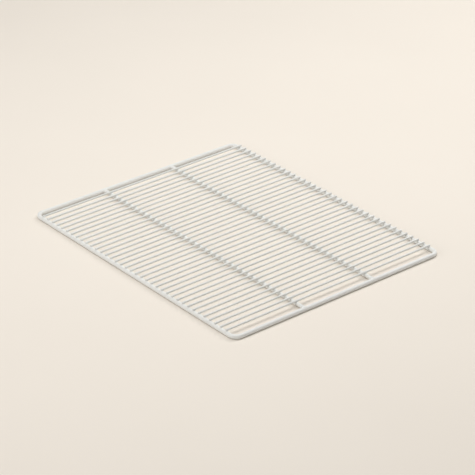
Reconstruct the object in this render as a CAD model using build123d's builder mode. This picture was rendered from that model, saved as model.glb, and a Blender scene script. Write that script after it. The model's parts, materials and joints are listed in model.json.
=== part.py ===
"""Plastic-coated steel wire shelf for an upright refrigerator.

The shelf lies flat. X runs along the deck wires, Y along the two long sides and Z points up.
The origin is on the surface that the shelf lies on, under the middle of the shelf.
All sizes are in millimetres and include the coating.
"""
import os

from build123d import *

# Outline of the shelf
shelf_width = 530.0
shelf_length = 650.0

# Perimeter rod, one length bent to a rounded rectangle and closed
frame_dia = 9.0
bend_radius = 15.0  # at the centre line

# Cross rods, level with the top of the perimeter rod
cross_dia = 7.5
cross_spacing = 176.4  # between the two centre lines
cross_lap = 2.0  # how far the end weld climbs over the round of the perimeter rod

# Deck wires, laid across the long sides and the cross rods
wire_dia = 4.4
wire_pitch = 16.4
wire_overhang = 1.8  # past the centre line of each long side
wire_margin = 25.0  # least distance from the centre line of each end

# Places that follow from the sizes above
side_x = (shelf_width - frame_dia) / 2
end_y = (shelf_length - frame_dia) / 2
frame_z = frame_dia / 2
cross_z = frame_dia - cross_dia / 2
cross_end_y = end_y - frame_dia / 2 + cross_lap
wire_z = frame_dia + wire_dia / 2
deck_length = 2 * (end_y - wire_margin)
wire_count = int(deck_length // wire_pitch) + 1
first_wire_y = wire_pitch * (wire_count - 1) / 2

os.makedirs("parts", exist_ok=True)


# Perimeter rod
with BuildPart() as frame_rod:
    with BuildLine(Plane.XY.offset(frame_z)) as frame_path:
        FilletPolyline(
            (-side_x, -end_y),
            (side_x, -end_y),
            (side_x, end_y),
            (-side_x, end_y),
            radius=bend_radius,
            close=True,
        )
    with BuildSketch(Plane(frame_path.line @ 0, z_dir=frame_path.line % 0)):
        Circle(frame_dia / 2)
    sweep(path=frame_path.line)
frame_rod.part.label = "frame_rod"
export_step(frame_rod.part, "parts/frame_rod.step")


def make_cross_rod(x):
    """Cross rod at x, with both ends coped to the round of the perimeter rod."""
    with BuildPart() as cross_rod:
        with BuildSketch(Plane.XZ):
            with Locations((x, cross_z)):
                Circle(cross_dia / 2)
        extrude(amount=cross_end_y, both=True)
        add(frame_rod.part, mode=Mode.SUBTRACT)
    return cross_rod.part


def make_deck_wire(y):
    """Deck wire at y, resting on the long sides and on the cross rods."""
    with BuildPart() as deck_wire:
        with BuildSketch(Plane.YZ):
            with Locations((y, wire_z)):
                Circle(wire_dia / 2)
        extrude(amount=side_x + wire_overhang, both=True)
    return deck_wire.part


# Cross rods
for name, x in (("cross_rod_left", -cross_spacing / 2), ("cross_rod_right", cross_spacing / 2)):
    cross_rod = make_cross_rod(x)
    cross_rod.label = name
    export_step(cross_rod, f"parts/{name}.step")

# Deck wires, numbered from the back of the shelf
for number in range(1, wire_count + 1):
    deck_wire = make_deck_wire(first_wire_y - wire_pitch * (number - 1))
    deck_wire.label = f"deck_wire_{number:02d}"
    export_step(deck_wire, f"parts/{deck_wire.label}.step")
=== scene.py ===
"""Looks of a plastic-coated wire shelf: coated rods and wires, floor, light and camera.

Each rod and wire is a fine tube in place of its solid. Where a wire lies on a rod, or a cross rod ends
on the perimeter rod, the coating runs out to a small fillet, as dipped plastic does over a weld.
"""
import json
import math

import bmesh
import bpy
import numpy as np
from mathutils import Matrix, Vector


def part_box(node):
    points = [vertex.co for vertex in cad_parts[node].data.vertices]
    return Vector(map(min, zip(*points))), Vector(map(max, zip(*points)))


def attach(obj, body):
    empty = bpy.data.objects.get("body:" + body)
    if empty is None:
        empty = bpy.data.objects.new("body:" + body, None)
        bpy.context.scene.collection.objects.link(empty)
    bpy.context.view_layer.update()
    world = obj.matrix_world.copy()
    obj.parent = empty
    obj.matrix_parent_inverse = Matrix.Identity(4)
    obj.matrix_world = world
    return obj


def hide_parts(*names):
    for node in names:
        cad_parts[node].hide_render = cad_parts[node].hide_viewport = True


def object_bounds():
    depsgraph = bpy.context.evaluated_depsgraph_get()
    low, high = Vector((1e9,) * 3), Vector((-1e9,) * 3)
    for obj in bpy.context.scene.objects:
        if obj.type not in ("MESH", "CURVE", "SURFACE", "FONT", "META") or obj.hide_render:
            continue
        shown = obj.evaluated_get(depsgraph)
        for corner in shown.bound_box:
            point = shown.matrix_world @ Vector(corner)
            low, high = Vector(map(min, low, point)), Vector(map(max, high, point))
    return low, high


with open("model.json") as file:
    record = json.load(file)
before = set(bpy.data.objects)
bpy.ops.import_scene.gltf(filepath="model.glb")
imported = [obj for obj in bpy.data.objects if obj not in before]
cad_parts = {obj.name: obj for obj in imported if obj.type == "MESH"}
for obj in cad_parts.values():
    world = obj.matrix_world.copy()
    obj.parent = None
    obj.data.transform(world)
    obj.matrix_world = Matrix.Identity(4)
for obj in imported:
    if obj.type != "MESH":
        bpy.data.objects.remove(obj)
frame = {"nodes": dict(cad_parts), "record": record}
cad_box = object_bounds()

MM = 0.001
ALONG_X, ALONG_Y, UP = np.eye(3)

# Coating beside a joint
COAT_REACH = 2.8 * MM  # a fillet starts where the distances to two bars differ by less than this
COAT_RISE = 2.0 * MM  # how far beyond a bar's own round a fillet may stand
COAT_HIDE = 0.6 * MM  # how far beyond its own round a bar's skin goes where it is hidden in another bar
COAT_LAP = 0.03 * MM  # how much smaller the other bars are taken
COAT_STEPS = 60  # along each ray

# Ends of the wires and of the cross rods
WIRE_END_ROUND = 1.5 * MM
WIRE_TIP_INSET = 0.03 * MM  # from the tip to the last ring
CROSS_END_SINK = 2.0 * MM  # into the perimeter rod

# Mesh fineness
SIDES = 40  # round every bar
BEND_STEPS = 16
END_STEPS = 7
JOINT_SPREAD = 6.5 * MM  # to each side of a joint
JOINT_STEPS = 23


def box_centre(node):
    low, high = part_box(node)
    return (low + high) / 2


def box_size(node):
    low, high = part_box(node)
    return high - low


# Sizes and places read from the solids
frame_radius = box_size("frame_rod").z / 2
side_x = box_size("frame_rod").x / 2 - frame_radius
end_y = box_size("frame_rod").y / 2 - frame_radius
runner = frame["record"]["mounts"][0]["dims"]
bend_radius = end_y - runner["length_mm"] * MM / 2
cross_nodes = ["cross_rod_left", "cross_rod_right"]
cross_radius = box_size("cross_rod_left").x / 2
cross_x = box_centre("cross_rod_right").x
cross_z = box_centre("cross_rod_left").z
wire_nodes = sorted(name for name in frame["nodes"] if name.startswith("deck_wire_"))
wire_radius = box_size(wire_nodes[0]).z / 2
wire_z = box_centre(wire_nodes[0]).z
wire_half = box_size(wire_nodes[0]).x / 2
wire_ys = np.array([box_centre(name).y for name in wire_nodes])
wire_pitch = (wire_ys[0] - wire_ys[-1]) / (len(wire_ys) - 1)


# Meshes

def bar_distance(across, height, radius):
    """Distance to a long bar's surface, from the offsets to its middle line."""
    return np.hypot(across, height) - radius


def frame_distance(points):
    """Distance to the perimeter rod, round its bends too."""
    x, y, z = np.moveaxis(points, -1, 0)
    past_x = np.abs(x) - (side_x - bend_radius)
    past_y = np.abs(y) - (end_y - bend_radius)
    corner = np.hypot(np.maximum(past_x, 0.0), np.maximum(past_y, 0.0))
    level = corner + np.minimum(np.maximum(past_x, past_y), 0.0) - bend_radius
    return bar_distance(level, z - frame_radius, frame_radius)


def cross_distance(points):
    """Distance to the nearer cross rod, which stops at the middle of the end rods."""
    x, y, z = np.moveaxis(points, -1, 0)
    rod = bar_distance(np.abs(x) - cross_x, z - cross_z, cross_radius)
    return np.maximum(rod, np.abs(y) - end_y)


def wire_distance(points):
    """Distance to the nearest deck wire, with its rounded ends."""
    x, y, z = np.moveaxis(points, -1, 0)
    number = np.clip(np.round((wire_ys[0] - y) / wire_pitch), 0, len(wire_ys) - 1)
    wire_y = wire_ys[0] - number * wire_pitch
    round_side = bar_distance(y - wire_y, z - wire_z, wire_radius - WIRE_END_ROUND)
    past_end = np.abs(x) - (wire_half - WIRE_END_ROUND)
    edge = np.hypot(np.maximum(round_side, 0.0), np.maximum(past_end, 0.0))
    return edge + np.minimum(np.maximum(round_side, past_end), 0.0) - WIRE_END_ROUND


def bridged(a, b):
    """Distance to two bars with the coating run into the corner between them."""
    blend = np.maximum(COAT_REACH - np.abs(a - b), 0.0) / COAT_REACH
    return np.minimum(a, b) - blend * blend * COAT_REACH / 4


def spokes_around(level):
    """Directions round a bar, from a level one up and over."""
    angles = np.arange(SIDES) * 2 * math.pi / SIDES
    return level * np.cos(angles)[:, None] + UP * np.sin(angles)[:, None]


def coated(middles, outward, radius, own, others):
    """Rings of points where rays from a bar's middle points come out of the coating.

    The other bars are taken a hair smaller, so that of two pieces that share a fillet the nearer one
    shows. A ray that stays inside for longer than a fillet is high ends hidden in the other bar.
    """
    middles, outward = np.broadcast_arrays(middles[:, None, :], outward)
    steps = np.linspace(0.0, radius + COAT_RISE, COAT_STEPS)
    depth = np.empty((*middles.shape[:-1], COAT_STEPS))
    for index, reach in enumerate(steps):
        points = middles + outward * reach
        skin = own(points)
        for other in others:
            skin = bridged(skin, other(points) + COAT_LAP)
        depth[..., index] = skin
    outside = depth >= 0.0
    after = np.maximum(np.argmax(outside, axis=-1), 1)
    inner = np.take_along_axis(depth, (after - 1)[..., None], -1)[..., 0]
    outer = np.take_along_axis(depth, after[..., None], -1)[..., 0]
    gap = np.where(outer > inner, outer - inner, 1.0)
    reach = steps[after - 1] - inner / gap * (steps[after] - steps[after - 1])
    reach = np.where(outside.any(axis=-1), reach, radius + COAT_HIDE)
    return middles + outward * reach[..., None]


def tube_faces(rings, closed):
    """Quads between the rings of a tube."""
    faces = []
    for ring in range(rings if closed else rings - 1):
        here, there = ring * SIDES, (ring + 1) % rings * SIDES
        for side in range(SIDES):
            after = (side + 1) % SIDES
            faces.append((here + side, here + after, there + after, there + side))
    return faces


def end_faces(rings):
    """One face on each end of a tube."""
    last = (rings - 1) * SIDES
    return [tuple(range(SIDES)), tuple(range(last, last + SIDES))]


def add_mesh(name, points, faces):
    """Smooth mesh with its faces turned outward."""
    shape = bmesh.new()
    corners = [shape.verts.new(point) for point in points]
    for face in faces:
        shape.faces.new([corners[index] for index in face])
    bmesh.ops.recalc_face_normals(shape, faces=shape.faces)
    mesh = bpy.data.meshes.new(name)
    shape.to_mesh(mesh)
    shape.free()
    mesh.shade_smooth()
    piece = bpy.data.objects.new(name, mesh)
    bpy.context.scene.collection.objects.link(piece)
    return piece


def dress(piece, node, material):
    """Puts a piece in place of its solid."""
    piece.data.materials.append(material)
    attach(piece, "root")
    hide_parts(node)


def stations_near(places, end):
    """Places along a bar from -end to end, close together beside each joint."""
    near = np.linspace(-JOINT_SPREAD, JOINT_SPREAD, JOINT_STEPS)
    stations = np.concatenate([np.array([-end, end]), *[place + near for place in places]])
    return np.unique(np.clip(stations, -end, end).round(7))


def perimeter_path():
    """Middle points of the perimeter rod and outward directions, anticlockwise from the right."""
    along_y = stations_near(wire_ys, end_y - bend_radius)
    along_x = stations_near([-cross_x, cross_x], side_x - bend_radius)
    turn = np.linspace(0.0, math.pi / 2, BEND_STEPS + 1)[1:-1]
    path = []
    for quarter, stations in enumerate((along_y, along_x, along_y, along_x)):
        out = quarter * math.pi / 2
        normal = np.array([math.cos(out), math.sin(out)])
        ahead = np.array([-math.sin(out), math.cos(out)])
        far, length = (side_x, end_y) if quarter % 2 == 0 else (end_y, side_x)
        path += [(normal * far + ahead * place, normal) for place in stations]
        centre = normal * (far - bend_radius) + ahead * (length - bend_radius)
        for bearing in turn:
            spoke = normal * math.cos(bearing) + ahead * math.sin(bearing)
            path.append((centre + spoke * bend_radius, spoke))
    middles = np.array([(*middle, frame_radius) for middle, _ in path])
    spokes = np.array([(*spoke, 0.0) for _, spoke in path])
    return middles, spokes


def make_perimeter(material):
    """Perimeter rod, with the coating run up to every wire and cross rod but not below the shelf."""
    middles, spokes = perimeter_path()
    outward = spokes_around(spokes[:, None, :])
    points = coated(middles, outward, frame_radius, frame_distance, [wire_distance, cross_distance])
    points[..., 2] = np.maximum(points[..., 2], cad_box[0][2])
    faces = tube_faces(len(points), closed=True)
    dress(add_mesh("perimeter_rod", points.reshape(-1, 3), faces), "frame_rod", material)


def make_cross_rod(node, material):
    """Cross rod, with its ends in the perimeter rod and the coating run up to every wire."""
    end = end_y - frame_radius + CROSS_END_SINK
    stations = stations_near([-end, *wire_ys, end], end)
    middles = np.array([(box_centre(node).x, place, cross_z) for place in stations])
    outward = spokes_around(ALONG_X)
    points = coated(middles, outward, cross_radius, cross_distance, [frame_distance, wire_distance])
    faces = tube_faces(len(points), closed=False) + end_faces(len(points))
    dress(add_mesh(f"{node}_coated", points.reshape(-1, 3), faces), node, material)


def wire_points(y):
    """Rings of the deck wire at y, with rounded ends and the coating run down to every rod."""
    straight = wire_half - WIRE_END_ROUND
    tip = straight + np.sin(np.linspace(0.0, math.pi / 2, END_STEPS)) * WIRE_END_ROUND
    inner = stations_near([-side_x, -cross_x, cross_x, side_x], straight)
    stations = np.unique(np.concatenate([-tip, inner, tip]).round(7))
    stations[[0, -1]] -= np.sign(stations[[0, -1]]) * WIRE_TIP_INSET
    middles = np.array([(place, y, wire_z) for place in stations])
    outward = spokes_around(ALONG_Y)
    return coated(middles, outward, wire_radius, wire_distance, [frame_distance, cross_distance])


def make_deck_wires(material):
    """Deck wires, all alike."""
    first = wire_points(wire_ys[0])
    faces = tube_faces(len(first), closed=False) + end_faces(len(first))
    for node, y in zip(wire_nodes, wire_ys):
        points = first.reshape(-1, 3) + ALONG_Y * (y - wire_ys[0])
        dress(add_mesh(f"{node}_coated", points, faces), node, material)


# Materials

NOISE_LOW, NOISE_HIGH = 0.3, 0.7  # most of a noise lies between these

COATING_DARK, COATING_LIGHT = (0.811, 0.822, 0.812), (0.836, 0.847, 0.837)
PAPER_DARK, PAPER_LIGHT = (0.857, 0.802, 0.735), (0.867, 0.812, 0.745)


def new_material(name):
    """Material with its nodes, its links and its shader."""
    material = bpy.data.materials.new(name)
    material.use_nodes = True
    nodes = material.node_tree.nodes
    return material, nodes, material.node_tree.links, nodes["Principled BSDF"]


def add_noise(nodes, links, scale, detail):
    """Noise in the part's own frame."""
    place = nodes.new("ShaderNodeTexCoord")
    noise = nodes.new("ShaderNodeTexNoise")
    noise.inputs["Scale"].default_value = scale
    noise.inputs["Detail"].default_value = detail
    links.new(place.outputs["Object"], noise.inputs["Vector"])
    return noise.outputs["Fac"]


def add_ramp(nodes, links, source, low, high):
    """Colour that runs from low to high with the source."""
    ramp = nodes.new("ShaderNodeValToRGB")
    ramp.color_ramp.elements[0].position = NOISE_LOW
    ramp.color_ramp.elements[1].position = NOISE_HIGH
    ramp.color_ramp.elements[0].color = (*low, 1.0)
    ramp.color_ramp.elements[1].color = (*high, 1.0)
    links.new(source, ramp.inputs["Fac"])
    return ramp.outputs["Color"]


def add_range(nodes, links, source, low, high):
    """Number that runs from low to high with the source."""
    spread = nodes.new("ShaderNodeMapRange")
    spread.inputs["From Min"].default_value = NOISE_LOW
    spread.inputs["From Max"].default_value = NOISE_HIGH
    spread.inputs["To Min"].default_value = low
    spread.inputs["To Max"].default_value = high
    links.new(source, spread.inputs["Value"])
    return spread.outputs["Result"]


def add_bump(nodes, links, source, strength, depth):
    """Bump with the source as its height."""
    bump = nodes.new("ShaderNodeBump")
    bump.inputs["Strength"].default_value = strength
    bump.inputs["Distance"].default_value = depth
    links.new(source, bump.inputs["Height"])
    return bump.outputs["Normal"]


def make_coating():
    """White dipped plastic: soft gloss, faint unevenness of colour and a fine orange peel."""
    material, nodes, links, shader = new_material("white_dip_coat")
    clouds = add_noise(nodes, links, scale=35.0, detail=3.0)
    patches = add_noise(nodes, links, scale=160.0, detail=2.0)
    grain = add_noise(nodes, links, scale=900.0, detail=2.0)
    tint = add_ramp(nodes, links, clouds, COATING_DARK, COATING_LIGHT)
    gloss = add_range(nodes, links, patches, low=0.34, high=0.46)
    peel = add_bump(nodes, links, grain, strength=0.25, depth=0.05 * MM)
    links.new(tint, shader.inputs["Base Color"])
    links.new(gloss, shader.inputs["Roughness"])
    links.new(peel, shader.inputs["Normal"])
    return material


def make_floor_finish():
    """Cream matt paper."""
    material, nodes, links, shader = new_material("cream_paper")
    clouds = add_noise(nodes, links, scale=3.0, detail=2.0)
    tint = add_ramp(nodes, links, clouds, PAPER_DARK, PAPER_LIGHT)
    links.new(tint, shader.inputs["Base Color"])
    shader.inputs["Roughness"].default_value = 0.95
    shader.inputs["Specular IOR Level"].default_value = 0.1
    return material


# Stage

FLOOR_HALF = 6.0
WARM_WHITE = (1.0, 0.985, 0.955)
SURROUND_STRENGTH = 0.335

CAMERA_AZIMUTH = math.radians(-39.448)
CAMERA_ELEVATION = math.radians(28.170)
CAMERA_TARGET = Vector((-11.0, -24.6, 9.4)) * MM
CAMERA_DISTANCE = 4466.0 * MM
CAMERA_LENS = 168.78  # millimetres
CAMERA_SENSOR = 36.0  # millimetres
CAMERA_REACH = 50.0


def make_floor():
    """Square of paper under the shelf."""
    near, far = -FLOOR_HALF, FLOOR_HALF
    corners = [(near, near, 0.0), (far, near, 0.0), (far, far, 0.0), (near, far, 0.0)]
    floor = add_mesh("floor", corners, [(0, 1, 2, 3)])
    floor.data.materials.append(make_floor_finish())


def add_softbox(name, place, size, power):
    """Square area light at place, turned to the shelf."""
    lamp = bpy.data.lights.new(name, "AREA")
    lamp.shape = "SQUARE"
    lamp.size = size
    lamp.energy = power
    lamp.color = WARM_WHITE
    box = bpy.data.objects.new(name, lamp)
    box.location = place
    box.rotation_euler = (-Vector(place)).to_track_quat("-Z", "Y").to_euler()
    box.visible_camera = False
    bpy.context.scene.collection.objects.link(box)


def make_light():
    """Wide softbox overhead, a smaller one on the right for the soft shadows, a low one on the left."""
    add_softbox("overhead", place=(0.0, 0.2, 2.3), size=2.2, power=30.0)
    add_softbox("right", place=(2.9, 0.3, 2.3), size=0.95, power=44.0)
    add_softbox("left", place=(-3.6, 0.6, 1.4), size=1.8, power=39.0)
    world = bpy.data.worlds.new("surround")
    world.use_nodes = True
    background = world.node_tree.nodes["Background"]
    background.inputs["Color"].default_value = (*WARM_WHITE, 1.0)
    background.inputs["Strength"].default_value = SURROUND_STRENGTH
    bpy.context.scene.world = world


def make_camera():
    """Camera at the photograph's place: a long lens, low over the shelf's front left corner."""
    back = Vector((
        math.sin(CAMERA_AZIMUTH) * math.cos(CAMERA_ELEVATION),
        -math.cos(CAMERA_AZIMUTH) * math.cos(CAMERA_ELEVATION),
        math.sin(CAMERA_ELEVATION),
    ))
    lens = bpy.data.cameras.new("camera")
    lens.sensor_width = CAMERA_SENSOR
    lens.lens = CAMERA_LENS
    lens.clip_end = CAMERA_REACH
    camera = bpy.data.objects.new("camera", lens)
    camera.location = CAMERA_TARGET + back * CAMERA_DISTANCE
    camera.rotation_euler = (-back).to_track_quat("-Z", "Y").to_euler()
    bpy.context.scene.collection.objects.link(camera)
    bpy.context.scene.camera = camera


coating = make_coating()
make_perimeter(coating)
for node in cross_nodes:
    make_cross_rod(node, coating)
make_deck_wires(coating)
make_floor()
make_light()
make_camera()
bpy.context.scene.view_settings.view_transform = "Standard"
